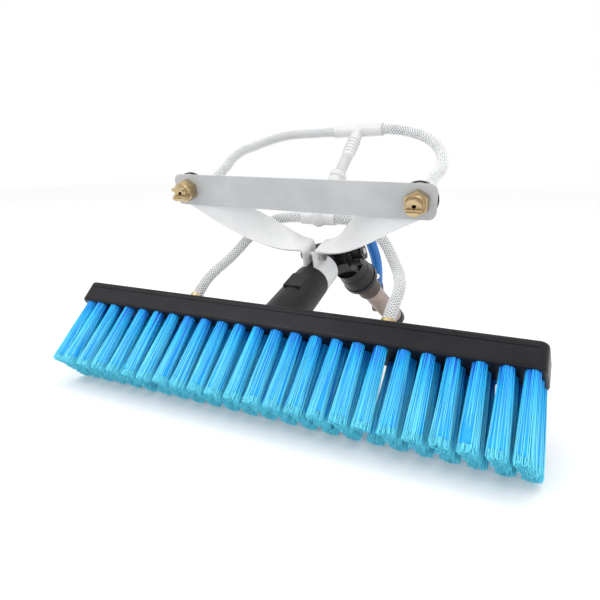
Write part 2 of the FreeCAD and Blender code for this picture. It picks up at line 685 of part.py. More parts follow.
def nodes():
    """Every node's name with its shape in the part's frame."""
    yield "brush_block", put(brush_block(), BLOCK)
    for row in ROWS:
        yield row + "_tufts", put(tuft_row(row), BLOCK)
    yield "handle_socket", put(handle_socket(), BLOCK)
    yield "socket_screws", put(socket_screws(), BLOCK)
    yield "nozzle_bar", put(nozzle_bar(), BAR)
    for name, side in (("left", -1), ("right", 1)):
        yield name + "_arm", put(arm(side), NECK)
        yield name + "_nozzle", put(nozzle(), at_nozzle(side))
        yield name + "_nozzle_seal", put(nozzle_seal(), at_nozzle(side))
        yield name + "_hose_tail", put(hose_tail(), at_nozzle(side))
        yield name + "_block_inlet", put(block_inlet(side), BLOCK)
        yield name + "_block_jet", put(block_jet(side), BLOCK)
    yield "clamp_bolt", put(clamp_bolt(), NECK)
    yield "clamp_washers", put(clamp_washers(), NECK)
    yield "clamp_nut", put(clamp_nut(), NECK)
    tee_frame = facing(TEE, LINK_WAY, RUN_WAY)
    yield "upper_tee", put(upper_tee(), tee_frame)
    yield "link_hose", put(link_hose(), tee_frame)
    yield "link_collar", put(link_collar(), tee_frame)
    yield "lower_cross", lower_cross()
    route = whole_route(nozzle_tail_end(-1), UPPER_LEFT, tee_port(-1))
    yield "left_upper_hose", hose("left_upper_hose", HOSE_R, route)
    route = whole_route(nozzle_tail_end(1), UPPER_RIGHT, tee_port(1))
    yield "right_upper_hose", hose("right_upper_hose", HOSE_R, route)
    for name, side, middle in (("left", -1, LOWER_LEFT), ("right", 1, LOWER_RIGHT)):
        route = whole_route(cross_port(side), middle, inlet_end(side))
        yield name + "_lower_hose", hose(name + "_lower_hose", HOSE_R, route)
    yield "supply_hose", hose("supply_hose", SUPPLY_R, supply_route())
    yield "supply_connector", supply_connector()
    yield "neck_adaptor", put(neck_adaptor(), KNUCKLE)
    yield "friction_disc", put(friction_disc(), KNUCKLE)
    yield "pivot_bolt", put(pivot_bolt(), KNUCKLE)
    yield "pivot_washer", put(pivot_washer(), KNUCKLE)
    yield "pivot_knob", put(pivot_knob(), KNUCKLE)
    yield "knuckle_head", put(knuckle_head(), POLE)
    yield "outer_tube", put(outer_tube(), POLE)
    yield "lock_ring", put(lock_ring(), POLE)
    yield "pole_tube", put(pole_tube(), POLE)
    yield "spring_button", put(spring_button(), POLE)
    yield "button_spring", put(button_spring(), POLE)
    yield "pole_ferrule", put(pole_ferrule(), POLE)


os.makedirs("parts", exist_ok=True)
for name, shape in nodes():
    b = shape.BoundBox
    sides = f"Y {b.YMin:7.2f} to {b.YMax:7.2f}  Z {b.ZMin:7.2f} to {b.ZMax:7.2f}"
    print(f"{name:18s} solids {len(shape.Solids):2d} valid {shape.isValid()} {sides}")
    shape.exportStep("parts/" + name + ".step")
print("pivot", KNUCKLE.multVec(V(0, 0, 0)), "axis", KNUCKLE.Rotation.multVec(V(1, 0, 0)))
print("pole start", POLE.Base, "way", POLE.Rotation.multVec(V(0, 0, 1)))
print("nozzles", at_nozzle(-1).Base, at_nozzle(1).Base, "way", BAR.Rotation.multVec(V(0, 0, 1)))
print("button", (POLE * BUTTON_FRAME).Base, "way", (POLE * BUTTON_FRAME).Rotation.multVec(V(1, 0, 0)))
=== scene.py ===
# %% [markdown]
# # A water-fed wash brush
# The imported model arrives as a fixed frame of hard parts: block, bracket, fittings, knuckle
# and pole. This script gives those parts their finishes and makes what a solid model can't
# show: bristles, braided hoses and ribs. Everything is in metres, in the model's own frame,
# with the floor at z = 0.

import bpy
import math
import random
from mathutils import Matrix, Vector


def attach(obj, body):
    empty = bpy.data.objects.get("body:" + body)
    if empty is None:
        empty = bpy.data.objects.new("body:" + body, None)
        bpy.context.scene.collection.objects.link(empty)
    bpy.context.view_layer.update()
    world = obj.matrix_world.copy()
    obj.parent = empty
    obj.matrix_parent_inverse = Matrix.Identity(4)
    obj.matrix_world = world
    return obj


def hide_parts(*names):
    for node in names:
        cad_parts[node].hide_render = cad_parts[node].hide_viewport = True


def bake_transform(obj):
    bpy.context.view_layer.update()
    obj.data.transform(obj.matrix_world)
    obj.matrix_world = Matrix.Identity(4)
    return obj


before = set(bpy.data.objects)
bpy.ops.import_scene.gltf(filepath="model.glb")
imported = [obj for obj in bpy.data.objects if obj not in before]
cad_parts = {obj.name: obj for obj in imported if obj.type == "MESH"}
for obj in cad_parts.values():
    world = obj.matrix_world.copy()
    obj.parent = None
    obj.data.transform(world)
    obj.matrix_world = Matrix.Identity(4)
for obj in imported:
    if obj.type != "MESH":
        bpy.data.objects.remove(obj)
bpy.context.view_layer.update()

# %% [markdown]
# ## Camera
# The brush is seen from the front, a little from its right end and a little from above. A wide
# lens, close up, makes the near end of the block look longer than the far end. The camera is
# set from the two angles, so that it's easy to nudge one of them.

# %% Camera
AZIMUTH = math.radians(24.67)
ELEVATION = math.radians(15.62)

lens = bpy.data.cameras.new("camera")
lens.lens = 28.8
lens.sensor_width = 36
lens.clip_start = 0.01
camera = bpy.data.objects.new("camera", lens)
camera.location = (0.1753, -0.4228, 0.1920)
camera.rotation_euler = (math.pi / 2 - ELEVATION, 0, AZIMUTH)
bpy.context.scene.collection.objects.link(camera)
bpy.context.scene.camera = camera

# %% [markdown]
# ## Hoses as curves
# A hose is one smooth NURBS curve with a round bevel. The control points pull the curve
# without lying on it, so a handful of them gives the loose arc of a stiff hose. The order
# is set after the points, because Blender lowers it again on a curve that has too few.

# %% Hose routes
UPPER_LEFT = [
    (-0.1035, -0.0356, 0.1750),
    (-0.1035, -0.0229, 0.1773),
    (-0.1059, 0.0010, 0.1866),
    (-0.1031, 0.0239, 0.2049),
    (-0.0964, 0.0551, 0.2137),
    (-0.0756, 0.0772, 0.2241),
    (-0.0454, 0.0880, 0.2264),
    (-0.0146, 0.0829, 0.2267),
]
UPPER_RIGHT = [
    (0.1035, -0.0348, 0.1702),
    (0.1035, -0.0185, 0.1732),
    (0.1038, -0.0013, 0.1820),
    (0.1079, 0.0178, 0.1890),
    (0.1049, 0.0359, 0.1988),
    (0.0981, 0.0504, 0.2094),
    (0.0855, 0.0623, 0.2180),
    (0.0688, 0.0699, 0.2237),
    (0.0503, 0.0720, 0.2274),
    (0.0386, 0.0739, 0.2273),
]
LOWER_LEFT = [
    (-0.0170, 0.0018, 0.1444),
    (-0.0370, 0.0018, 0.1444),
    (-0.0554, -0.0011, 0.1373),
    (-0.0705, -0.0079, 0.1241),
    (-0.0821, -0.0235, 0.1053),
    (-0.0879, -0.0481, 0.0943),
    (-0.0900, -0.0635, 0.0849),
    (-0.0900, -0.0728, 0.0762),
]
LOWER_RIGHT = [
    (0.0170, 0.0018, 0.1444),
    (0.0354, 0.0018, 0.1444),
    (0.0526, 0.0003, 0.1379),
    (0.0666, -0.0035, 0.1261),
    (0.0768, -0.0121, 0.1123),
    (0.0861, -0.0258, 0.1028),
    (0.0919, -0.0458, 0.0956),
    (0.0900, -0.0644, 0.0841),
    (0.0900, -0.0728, 0.0762),
]
SUPPLY = [
    (0.0034, 0.0191, 0.1480),
    (0.0075, 0.0395, 0.1523),
    (0.0122, 0.0669, 0.1478),
    (0.0164, 0.0904, 0.1310),
    (0.0236, 0.1025, 0.1065),
    (0.0302, 0.1103, 0.0795),
    (0.0263, 0.1234, 0.0555),
]

# %% Hose helpers
def hose_curve(name, route, radius, sides=6):
    """One smooth open curve through the route's pull, with a round section."""
    data = bpy.data.curves.new(name, "CURVE")
    data.dimensions = "3D"
    spline = data.splines.new("NURBS")
    spline.points.add(len(route) - 1)
    for point, place in zip(spline.points, route):
        point.co = (*place, 1)
        point.radius = radius
    spline.order_u = 3
    spline.use_endpoint_u = True
    spline.resolution_u = 12
    data.bevel_depth = 1 if radius else 0
    data.bevel_resolution = sides
    data.use_fill_caps = True
    piece = bpy.data.objects.new(name, data)
    bpy.context.scene.collection.objects.link(piece)
    return piece


def curve_points(piece):
    """The points along a curve's middle, taken from a copy of it with no thickness."""
    data = piece.data
    depth, data.bevel_depth = data.bevel_depth, 0
    bpy.context.view_layer.update()
    mesh = bpy.data.meshes.new_from_object(piece)
    data.bevel_depth = depth
    points = [v.co.copy() for v in mesh.vertices]
    bpy.data.meshes.remove(mesh)
    return points


def curve_length(piece):
    points = curve_points(piece)
    return sum((b - a).length for a, b in zip(points, points[1:]))


def curve_as_mesh(piece):
    """The same hose as a mesh, for one that has to bend with a joint."""
    bpy.context.view_layer.update()
    mesh = bpy.data.meshes.new_from_object(piece)
    name = piece.name
    bpy.data.objects.remove(piece)
    made = bpy.data.objects.new(name, mesh)
    bpy.context.scene.collection.objects.link(made)
    return made


# %% [markdown]
# ## A helper for node trees
# Materials and Geometry Nodes are both built from the same three steps: add a node, set its
# plain settings, and feed its inputs either a value or another node's output. One helper does
# all three, which keeps each tree readable from top to bottom.

# %% Node helper
def add(tree, kind, feeds=None, **settings):
    """Adds a node; feeds maps an input's name or number to a value or to an output socket."""
    node = tree.nodes.new(kind)
    for key, value in settings.items():
        setattr(node, key, value)
    for key, value in (feeds or {}).items():
        socket = node.inputs[key]
        if isinstance(value, bpy.types.NodeSocket):
            tree.links.new(value, socket)
        else:
            socket.default_value = value
    return node


def ramp(tree, factor, stops):
    """A colour ramp with stops [(position, colour), ...]."""
    node = add(tree, "ShaderNodeValToRGB", {"Fac": factor})
    points = node.color_ramp.elements
    while len(points) < len(stops):
        points.new(0.5)
    for point, (position, colour) in zip(points, stops):
        point.position = position
        point.color = (*colour, 1)
    return node.outputs["Color"]


def new_material(name):
    material = bpy.data.materials.new(name)
    material.use_nodes = True
    tree = material.node_tree
    shader = tree.nodes["Principled BSDF"]
    place = add(tree, "ShaderNodeTexCoord").outputs["Object"]
    return material, tree, shader, place


def mapped(tree, place, scale, turn=(0, 0, 0)):
    return add(tree, "ShaderNodeMapping", {"Vector": place, "Rotation": turn, "Scale": scale}).outputs[0]


def noise(tree, place, scale, detail=4, roughness=0.55):
    feeds = {"Vector": place, "Scale": scale, "Detail": detail, "Roughness": roughness}
    return add(tree, "ShaderNodeTexNoise", feeds).outputs["Fac"]


def bump(tree, shader, height, strength, distance):
    node = add(tree, "ShaderNodeBump", {"Height": height, "Strength": strength, "Distance": distance})
    tree.links.new(node.outputs[0], shader.inputs["Normal"])
    return node


# %% [markdown]
# ## Finishes for the hard parts
# Moulded plastic, coated strip, turned brass and anodised tube differ in the same few ways:
# colour, how far the colour wanders, how rough the skin is, and how fine its grain is. So one
# function makes them all. The grain is stretched along one direction for brushed, turned or
# drawn metal, and left even for plastic.

# %% A general finish
def finish(name, dark, light, rough=(0.3, 0.5), metal=0.0, grain=900.0, stretch=(1, 1, 1),
           turn=(0, 0, 0), depth=0.15, scuff=None, coat=0.0, shine=0.5):
    """Colour wandering from dark to light, roughness from rough[0] to rough[1], and a grain."""
    material, tree, shader, place = new_material(name)
    wander = noise(tree, place, 45, 5)
    colour = ramp(tree, wander, [(0.3, dark), (0.7, light)])
    fine = noise(tree, mapped(tree, place, stretch, turn), grain, 3)
    if scuff:
        marks = noise(tree, mapped(tree, place, (1, 3, 3)), 160, 8, 0.7)
        where = add(tree, "ShaderNodeMapRange", {"Value": marks, "From Min": 0.62, "From Max": 0.74})
        mix = {"Factor": where.outputs[0], "A": colour, "B": (*scuff, 1)}
        colour = add_mix(tree, mix)
    tree.links.new(colour, shader.inputs["Base Color"])
    spread = {"Value": fine, "From Min": 0.3, "From Max": 0.7, "To Min": rough[0], "To Max": rough[1]}
    roughness = add(tree, "ShaderNodeMapRange", spread)
    tree.links.new(roughness.outputs[0], shader.inputs["Roughness"])
    shader.inputs["Metallic"].default_value = metal
    shader.inputs["Coat Weight"].default_value = coat
    shader.inputs["Specular IOR Level"].default_value = shine
    bump(tree, shader, fine, depth, 0.0002)
    return material


def add_mix(tree, feeds):
    """Mixes two colours and returns the result."""
    node = tree.nodes.new("ShaderNodeMix")
    node.data_type = "RGBA"
    sockets = {"Factor": node.inputs[0], "A": node.inputs[6], "B": node.inputs[7]}
    for key, value in feeds.items():
        if isinstance(value, bpy.types.NodeSocket):
            tree.links.new(value, sockets[key])
        else:
            sockets[key].default_value = value
    return node.outputs[2]


# %% Finishes
ALONG_BRUSH = (0.06, 1, 1)
moulded_block = finish("block_plastic", (0.006, 0.006, 0.008), (0.012, 0.012, 0.015), (0.30, 0.44),
                       grain=1400, stretch=ALONG_BRUSH, depth=0.22, scuff=(0.03, 0.03, 0.034), shine=0.2)
moulded_black = finish("socket_plastic", (0.006, 0.006, 0.007), (0.013, 0.013, 0.015), (0.34, 0.5),
                       grain=1800, depth=0.3, scuff=(0.03, 0.03, 0.032), shine=0.22)
knuckle_plastic = finish("knuckle_plastic", (0.005, 0.005, 0.006), (0.012, 0.012, 0.014), (0.2, 0.38),
                         grain=2200, depth=0.2, coat=0.1, shine=0.25)
# Painted shade: the bar is the same white coated strip as the arms, made grey because its front faces down
# into shade. The lighter scuffs are wear.
shaded_bar_strip = finish("bar_strip_shaded", (0.40, 0.41, 0.42), (0.47, 0.48, 0.49), (0.32, 0.48), metal=0.15,
                    grain=1600, stretch=ALONG_BRUSH, depth=0.12, scuff=(0.5, 0.5, 0.51))
white_strip = finish("arm_coat", (0.68, 0.69, 0.70), (0.76, 0.76, 0.76), (0.3, 0.45), grain=1500, depth=0.1)
white_fitting = finish("fitting_plastic", (0.60, 0.60, 0.60), (0.70, 0.70, 0.69), (0.26, 0.36),
                       grain=900, depth=0.08)
turned_brass = finish("turned_brass", (0.40, 0.30, 0.17), (0.62, 0.49, 0.29), (0.22, 0.42), metal=1.0,
                      grain=1500, stretch=(1, 8, 1), depth=0.25, scuff=(0.30, 0.21, 0.11))
black_rubber = finish("seal_rubber", (0.012, 0.012, 0.012), (0.03, 0.03, 0.03), (0.6, 0.8),
                      grain=2600, depth=0.3)
plated_steel = finish("plated_steel", (0.50, 0.50, 0.51), (0.68, 0.68, 0.69), (0.2, 0.36),
                      metal=1.0, grain=1800, depth=0.15)
bright_button = finish("button_plating", (0.74, 0.74, 0.75), (0.86, 0.86, 0.87), (0.12, 0.22),
                       metal=1.0, grain=1500, depth=0.05)
DOWN_POLE = Vector((0.2338, 0.7363, -0.6350))
pole_turn = DOWN_POLE.to_track_quat("X", "Z").inverted().to_euler()
anodised = finish("anodised_pole", (0.27, 0.22, 0.19), (0.40, 0.34, 0.30), (0.26, 0.4), metal=0.85,
                  grain=1800, stretch=(0.05, 1, 1), turn=tuple(pole_turn), depth=0.2)
outer_brown = finish("outer_tube_coat", (0.045, 0.030, 0.024), (0.085, 0.060, 0.048), (0.3, 0.45), metal=0.4,
                     grain=1600, stretch=(0.05, 1, 1), turn=tuple(pole_turn), depth=0.2)
dark_connector = finish("connector_plastic", (0.04, 0.04, 0.042), (0.08, 0.08, 0.085), (0.3, 0.45),
                        grain=1400, depth=0.2)

HARD_PARTS = {
    "brush_block": moulded_block,
    "handle_socket": moulded_black,
    "neck_adaptor": moulded_black,
    "nozzle_bar": shaded_bar_strip,
    "left_arm": white_strip,
    "right_arm": white_strip,
    "upper_tee": white_fitting,
    "link_collar": white_fitting,
    "lower_cross": white_fitting,
    "left_nozzle": turned_brass,
    "right_nozzle": turned_brass,
    "left_hose_tail": turned_brass,
    "right_hose_tail": turned_brass,
    "left_block_inlet": turned_brass,
    "right_block_inlet": turned_brass,
    "left_nozzle_seal": black_rubber,
    "right_nozzle_seal": black_rubber,
    "friction_disc": black_rubber,
    "socket_screws": plated_steel,
    "clamp_bolt": plated_steel,
    "clamp_nut": plated_steel,
    "clamp_washers": plated_steel,
    "left_block_jet": plated_steel,
    "right_block_jet": plated_steel,
    "pivot_bolt": plated_steel,
    "pivot_washer": plated_steel,
    "button_spring": plated_steel,
    "spring_button": bright_button,
    "pivot_knob": knuckle_plastic,
    "knuckle_head": knuckle_plastic,
    "lock_ring": knuckle_plastic,
    "pole_ferrule": knuckle_plastic,
    "pole_tube": anodised,
    "outer_tube": outer_brown,
    "supply_connector": dark_connector,
}
for node, material in HARD_PARTS.items():
    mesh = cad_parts[node].data
    mesh.materials.clear()
    mesh.materials.append(material)
print("finishes on", len(HARD_PARTS), "parts")

# %% [markdown]
# ## Clear hose and blue hose
# Braided hose is clear plastic with a net of white yarn inside its wall. It's made in three
# layers: a dark core of painted shade in the bore, the yarns around it, and the clear skin over both.
# see-through with a soft gloss. The blue hose is plain, with faint streaks from its making.
# It's the only hose that crosses a joint, and it becomes a mesh.

# %% Hose materials
# Painted shade: this dark grey core fills the hollow bore, where the inside of the hose is in shade.
bore_shade_grey = finish("hose_bore_shade", (0.09, 0.095, 0.10), (0.14, 0.145, 0.15), (0.35, 0.5), grain=700, depth=0.05)
yarn_white = finish("hose_yarn", (0.86, 0.87, 0.88), (0.95, 0.95, 0.95), (0.5, 0.7), grain=3000, depth=0.3)
blue_hose = finish("blue_hose", (0.010, 0.14, 0.46), (0.022, 0.20, 0.58), (0.25, 0.4), grain=500, depth=0.06)

clear_skin, tree, shader, place = new_material("hose_skin")
shader.inputs["Base Color"].default_value = (0.90, 0.92, 0.93, 1)
shader.inputs["Alpha"].default_value = 0.22
ripple = noise(tree, place, 260, 2)
spread = {"Value": ripple, "From Min": 0.3, "From Max": 0.7, "To Min": 0.12, "To Max": 0.26}
tree.links.new(add(tree, "ShaderNodeMapRange", spread).outputs[0], shader.inputs["Roughness"])
bump(tree, shader, ripple, 0.15, 0.0003)

# %% [markdown]
# ## The braid, with Geometry Nodes
# One yarn is a helix around the hose. Making it with nodes means the same few nodes serve
# every hose: the route is resampled, pushed out sideways by a turning angle, and given a thin
# section. Copies of the route, each with its own starting angle, make the net; half of them
# turn one way and half the other. The result is turned into a plain mesh.

# %% A Geometry Nodes tree and how to apply it
def start_tree(name, inputs):
    """A tree with a geometry input, the named inputs and a geometry output."""
    tree = bpy.data.node_groups.new(name, "GeometryNodeTree")
    face = tree.interface
    face.new_socket("Geometry", in_out="INPUT", socket_type="NodeSocketGeometry")
    for label, (kind, value) in inputs.items():
        socket = face.new_socket(label, in_out="INPUT", socket_type="NodeSocket" + kind)
        if value is not None:
            socket.default_value = value
    face.new_socket("Geometry", in_out="OUTPUT", socket_type="NodeSocketGeometry")
    return tree, tree.nodes.new("NodeGroupInput").outputs, tree.nodes.new("NodeGroupOutput").inputs


def math_node(tree, operation, *values):
    return add(tree, "ShaderNodeMath", dict(enumerate(values)), operation=operation).outputs[0]


def vector_node(tree, operation, *values):
    node = add(tree, "ShaderNodeVectorMath", operation=operation)
    for i, value in enumerate(values):
        slot = 3 if operation == "SCALE" and i == 1 else i
        if isinstance(value, bpy.types.NodeSocket):
            tree.links.new(value, node.inputs[slot])
        else:
            node.inputs[slot].default_value = value
    return node.outputs["Value" if operation in ("DOT_PRODUCT", "LENGTH") else "Vector"]


def apply_tree(piece, tree, values):
    """Runs the tree on the piece with these input values and keeps the result as its mesh."""
    modifier = piece.modifiers.new("nodes", "NODES")
    modifier.node_group = tree
    for item in tree.interface.items_tree:
        if item.in_out == "INPUT" and item.name in values:
            modifier[item.identifier] = values[item.name]
    graph = bpy.context.evaluated_depsgraph_get()
    shaped = piece.evaluated_get(graph)
    mesh = bpy.data.meshes.new_from_object(shaped, preserve_all_data_layers=True, depsgraph=graph)
    name = piece.name
    bpy.data.objects.remove(piece)
    made = bpy.data.objects.new(name, mesh)
    bpy.context.scene.collection.objects.link(made)
    print(name, "faces", len(mesh.polygons))
    return made


# %% The braid's tree
WEAVE_DEPTH = 0.00008      # how far a yarn rises and falls as it crosses the others

braid_tree, given, result = start_tree("braid", {
    "Radius": ("Float", 0.0046),
    "Yarn radius": ("Float", 0.00042),
    "Pitch": ("Float", 0.022),
    "Yarns each way": ("Int", 8),
    "Step": ("Float", 0.0016),
    "Material": ("Material", None),
})
t = braid_tree
fine = add(t, "GeometryNodeResampleCurve", {"Curve": given["Geometry"], "Length": given["Step"]},
           mode="LENGTH")
tangent = add(t, "GeometryNodeInputTangent").outputs[0]
normal = add(t, "GeometryNodeInputNormal").outputs[0]
along = add(t, "GeometryNodeSplineParameter").outputs["Length"]


def keep_value(tree, geometry, name, value, kind, domain="POINT"):
    """Stores a value on the geometry under a name, so that it survives the next steps."""
    feeds = {"Geometry": geometry, "Name": name, "Value": value}
    node = add(tree, "GeometryNodeStoreNamedAttribute", feeds, data_type=kind, domain=domain)
    return node.outputs[0]


kept = keep_value(t, fine.outputs[0], "side", normal, "FLOAT_VECTOR")
kept = keep_value(t, kept, "way", tangent, "FLOAT_VECTOR")
kept = keep_value(t, kept, "run", along, "FLOAT")
count = math_node(t, "MULTIPLY", given["Yarns each way"], 2)
copies = add(t, "GeometryNodeDuplicateElements", {"Geometry": kept, "Amount": count}, domain="SPLINE")
side = add(t, "GeometryNodeInputNamedAttribute", {"Name": "side"}, data_type="FLOAT_VECTOR").outputs[0]
way = add(t, "GeometryNodeInputNamedAttribute", {"Name": "way"}, data_type="FLOAT_VECTOR").outputs[0]
run = add(t, "GeometryNodeInputNamedAttribute", {"Name": "run"}, data_type="FLOAT").outputs[0]
index = copies.outputs["Duplicate Index"]
sign = math_node(t, "SUBTRACT", math_node(t, "MULTIPLY", math_node(t, "MODULO", index, 2), 2), 1)
pair = math_node(t, "FLOOR", math_node(t, "DIVIDE", index, 2))
share = math_node(t, "DIVIDE", pair, given["Yarns each way"])
wound = math_node(t, "MULTIPLY", math_node(t, "DIVIDE", run, given["Pitch"]), sign)
turns = math_node(t, "ADD", wound, share)
angle = math_node(t, "MULTIPLY", turns, 2 * math.pi)
crossings = math_node(t, "SINE", math_node(t, "MULTIPLY", angle, given["Yarns each way"]))
weave = math_node(t, "MULTIPLY", crossings, sign)
radius = math_node(t, "ADD", given["Radius"], math_node(t, "MULTIPLY", weave, WEAVE_DEPTH))
across = vector_node(t, "CROSS_PRODUCT", way, side)
out = vector_node(t, "ADD", vector_node(t, "SCALE", side, math_node(t, "COSINE", angle)),
                  vector_node(t, "SCALE", across, math_node(t, "SINE", angle)))
moved = add(t, "GeometryNodeSetPosition", {"Geometry": copies.outputs["Geometry"],
                                           "Offset": vector_node(t, "SCALE", out, radius)})
section = add(t, "GeometryNodeCurvePrimitiveCircle", {"Resolution": 4, "Radius": given["Yarn radius"]})
tube = add(t, "GeometryNodeCurveToMesh", {"Curve": moved.outputs[0], "Profile Curve": section.outputs[0]})
whole = add(t, "GeometryNodeRealizeInstances", {"Geometry": tube.outputs[0]})
painted = add(t, "GeometryNodeSetMaterial", {"Geometry": whole.outputs[0], "Material": given["Material"]})
t.links.new(painted.outputs[0], result["Geometry"])

# %% Make the hoses
HOSE_R = 0.0055
CORE_R = 0.0041
SUPPLY_R = 0.006
HOSES = {
    "left_upper_hose": UPPER_LEFT,
    "right_upper_hose": UPPER_RIGHT,
    "left_lower_hose": LOWER_LEFT,
    "right_lower_hose": LOWER_RIGHT,
}
for node, route in HOSES.items():
    skin = hose_curve(node + "_skin", route, HOSE_R)
    skin.data.materials.append(clear_skin)
    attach(skin, "head")
    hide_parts(node)
    length = curve_length(skin)
    core = hose_curve(node + "_core", route, CORE_R, 4)
    core.data.materials.append(bore_shade_grey)
    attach(core, "head")
    line = hose_curve(node + "_braid", route, 0)
    braid = apply_tree(line, braid_tree, {"Material": yarn_white})
    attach(braid, "head")
    print(node, "length", round(length, 3))

supply = hose_curve("supply_line", SUPPLY, SUPPLY_R)
supply.data.materials.append(blue_hose)
supply_length = curve_length(supply)
supply_path = [tuple(point) for point in curve_points(supply)]
supply = curve_as_mesh(supply)
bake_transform(supply)
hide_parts("supply_hose")
print("supply hose length", round(supply_length, 3))

# %% [markdown]
# ## The ribbed link
# The short link below the tee is a ribbed white tube. Its ribs are one ring, repeated along a
# line with Instance on Points. A ring with a round section is a torus, which here comes from
# sweeping one circle around another.

# %% Ribbed link
TEE = Vector((0.012, 0.0784, 0.227))
LINK_WAY = Vector((-0.1059, -0.6761, -0.7291))
LINK_FROM = 0.036
LINK_TO = 0.060

rib_tree, given, result = start_tree("ribs", {
    "Length": ("Float", LINK_TO - LINK_FROM),
    "Pitch": ("Float", 0.0022),
    "Core radius": ("Float", 0.0048),
    "Rib radius": ("Float", 0.0009),
    "Material": ("Material", None),
})
t = rib_tree
far_end = add(t, "ShaderNodeCombineXYZ", {"Z": given["Length"]}).outputs[0]
line = add(t, "GeometryNodeCurvePrimitiveLine", {"End": far_end})
places = add(t, "GeometryNodeCurveToPoints", {"Curve": line.outputs[0], "Length": given["Pitch"]},
             mode="LENGTH")
ring = add(t, "GeometryNodeCurvePrimitiveCircle", {"Resolution": 40, "Radius": given["Core radius"]})
section = add(t, "GeometryNodeCurvePrimitiveCircle", {"Resolution": 10, "Radius": given["Rib radius"]})
rib = add(t, "GeometryNodeCurveToMesh", {"Curve": ring.outputs[0], "Profile Curve": section.outputs[0]})
ribs = add(t, "GeometryNodeInstanceOnPoints",
           {"Points": places.outputs["Points"], "Instance": rib.outputs[0]})
wall = add(t, "GeometryNodeCurvePrimitiveCircle", {"Resolution": 40, "Radius": given["Core radius"]})
core = add(t, "GeometryNodeCurveToMesh",
           {"Curve": line.outputs[0], "Profile Curve": wall.outputs[0], "Fill Caps": True})
both = add(t, "GeometryNodeJoinGeometry")
t.links.new(ribs.outputs[0], both.inputs[0])
t.links.new(core.outputs[0], both.inputs[0])
whole = add(t, "GeometryNodeRealizeInstances", {"Geometry": both.outputs[0]})
smooth = add(t, "GeometryNodeSetShadeSmooth", {"Geometry": whole.outputs[0]})
painted = add(t, "GeometryNodeSetMaterial", {"Geometry": smooth.outputs[0], "Material": given["Material"]})
t.links.new(painted.outputs[0], result["Geometry"])

seed_mesh = bpy.data.meshes.new("link_ribs")
link = bpy.data.objects.new("link_ribs", seed_mesh)
bpy.context.scene.collection.objects.link(link)
link = apply_tree(link, rib_tree, {"Material": white_fitting})
link_turn = LINK_WAY.to_track_quat("Z", "X").to_matrix().to_4x4()
link.data.transform(Matrix.Translation(TEE + LINK_WAY * LINK_FROM) @ link_turn)
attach(link, "head")
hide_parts("link_hose")

# %% [markdown]
# ## Bristles
# A tuft is a few hundred nylon bristles folded into one hole. They leave the hole in a tight
# bundle and splay towards their tips, each slightly bent. Every tuft gets a solid heart, so
# that light doesn't fall through it, and a coat of separate bristles around the heart. The
# coat is made with Geometry Nodes: copy each tuft's point many times, pick a root and a tip
# for each copy at random, and put a thin bent bristle between them.

# %% Where the tufts stand
LEAN = math.radians(-46.8)
block = Matrix.Translation((0, -0.09466, 0.05564)) @ Matrix.Rotation(LEAN, 4, "X")
TUFT_PITCH = 0.0169
TUFT_OUT = 0.06145
INLET_X = 0.090
ROWS = {"front": (-0.0125, 0.0), "middle": (0.0, 0.003), "rear": (0.0125, 0.006)}
half = 21 / 2
even = [(i - half) * TUFT_PITCH for i in range(22)]
LEFT_END = -(half + 0.7) * TUFT_PITCH      # the end tufts stand a little closer
RIGHT_END = (half + 0.9) * TUFT_PITCH
even = [LEFT_END, *even, RIGHT_END]


def row_points(row):
    """A row's places on the block. The middle row leaves room for the two jets."""
    y, shift = ROWS[row]
    places = [x + shift for x in even]
    if row == "middle":
        places = [x for x in places if abs(abs(x) - INLET_X) > 0.0096]
    return [(x, y) for x in places]


for row in ROWS:
    print(row, "row", len(row_points(row)), "tufts")

# %% Bristle materials
def bristle_material(name, shaded_root, bright, pale, gloss):
    """Nylon blue, with painted shade at the root: dark blue there, bright along its length, paler towards the
    tip.
    """
    material, tree, shader, place = new_material(name)
    away = block.to_3x3() @ Vector((0, 0, -1))
    offset = vector_node(tree, "SUBTRACT", place, tuple(block.translation))
    depth = vector_node(tree, "DOT_PRODUCT", offset, tuple(away))
    reach = add(tree, "ShaderNodeMapRange", {"Value": depth, "From Max": TUFT_OUT}).outputs[0]
    tone = add(tree, "ShaderNodeAttribute", attribute_name="tone").outputs["Fac"]
    shifted = math_node(tree, "ADD", reach, math_node(tree, "MULTIPLY", tone, 0.4))
    # Painted shade: the first, darkest stop darkens every bristle at its root.
    stops = [(0.0, shaded_root), (0.27, bright), (0.85, pale)]
    colour = ramp(tree, math_node(tree, "SUBTRACT", shifted, 0.1), stops)
    tree.links.new(colour, shader.inputs["Base Color"])
    streak = noise(tree, mapped(tree, place, (1, 0.2, 0.2)), 2200, 2)
    spread = {"Value": streak, "From Min": 0.3, "From Max": 0.7, "To Min": gloss, "To Max": gloss + 0.2}
    tree.links.new(add(tree, "ShaderNodeMapRange", spread).outputs[0], shader.inputs["Roughness"])
    shader.inputs["Subsurface Weight"].default_value = 0.12
    shader.inputs["Subsurface Radius"].default_value = (0.0005, 0.001, 0.002)
    bump(tree, shader, streak, 0.25, 0.0004)
    return material


# Painted shade: the heart is the same nylon as the coat, given darker blues for the shade inside each tuft.
heart_shaded_blue = bristle_material("bristle_heart_shade", (0.0, 0.08, 0.62), (0.0, 0.27, 0.80), (0.0, 0.40, 0.88), 0.4)
bristle_blue = bristle_material("bristle_coat", (0.0, 0.16, 0.80), (0.01, 0.58, 1.0), (0.17, 0.80, 1.0), 0.26)

# %% Tuft hearts
HEART_ROOT_R = 0.0043
HEART_FLARE = 0.0016
HEART_LUMPS = 0.07
HEART_JAG = 0.0012         # how ragged the end is
HEART_SIDES = 20
HEART_LEVELS = [0.0, 0.004, 0.012, 0.024, 0.036, 0.046, 0.053, 0.056]


